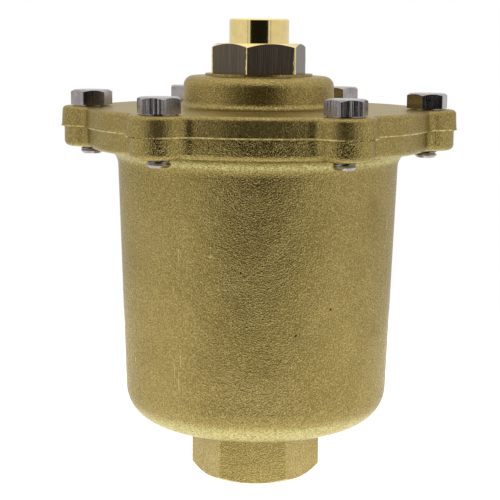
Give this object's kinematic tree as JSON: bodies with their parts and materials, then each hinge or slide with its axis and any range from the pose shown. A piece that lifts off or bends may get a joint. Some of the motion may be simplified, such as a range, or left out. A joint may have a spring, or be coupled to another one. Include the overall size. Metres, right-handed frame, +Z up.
{
  "type": "steam trap",
  "caption": "Inverted-bucket steam trap: tapered cast brass bowl with a bottom inlet boss, lobed bolted cover, hexagon outlet fitting on top, and a lever-hung bucket valve inside.",
  "frame": {"origin": "centre of the inlet boss's lower face", "axes": "+Z up the trap's axis, out of the outlet; +X and -X each point at a cover screw, and the lever's fulcrum is on the -X side"},
  "size_m": [0.1386, 0.1228, 0.1614],
  "materials": {
    "cast_brass": "sand-cast, fine grain, olive gold",
    "machined_brass": "machined, bright",
    "bolt_steel": "bright stainless, fine turning marks",
    "inner_steel": "drawn stainless sheet and turned bar",
    "inner_brass": "drawn tube",
    "gasket": "matte graphite sheet"
  },
  "bodies": {
    "housing": {"body": "cast_brass", "cover": "cast_brass", "cover_gasket": "gasket", "cover_bolts": "bolt_steel", "outlet_fitting": "machined_brass", "fitting_gasket": "gasket", "valve_seat": "inner_steel", "seat_gasket": "gasket", "lever_bracket": "inner_steel", "bracket_screws": "inner_steel", "bracket_lock_washers": "inner_steel", "pivot_pin": "inner_steel", "pin_clips": "inner_steel", "inlet_tube": "inner_brass"},
    "lever_assembly": {"valve_lever": "inner_steel", "valve_head": "inner_steel"},
    "bucket_assembly": {"bucket": "inner_steel", "bucket_weight": "inner_steel", "bucket_hanger": "inner_steel", "hanger_pin": "inner_steel", "hanger_rivets": "inner_steel"}
  },
  "joints": [
    {"name": "lever_pivot", "type": "hinge", "parent": "housing", "child": "lever_assembly", "pos_m": [-0.02422, 0, 0.11211], "axis": [0, -1, 0], "range_deg": [0, 9]},
    {"name": "bucket_swing", "type": "hinge", "parent": "lever_assembly", "child": "bucket_assembly", "pos_m": [-0.0003, 0, 0.10832], "axis": [0, -1, 0], "range_deg": [-9, 0]}
  ],
  "couplings": [
    {"joint": "bucket_swing", "follows": "lever_pivot", "ratio": -1}
  ]
}
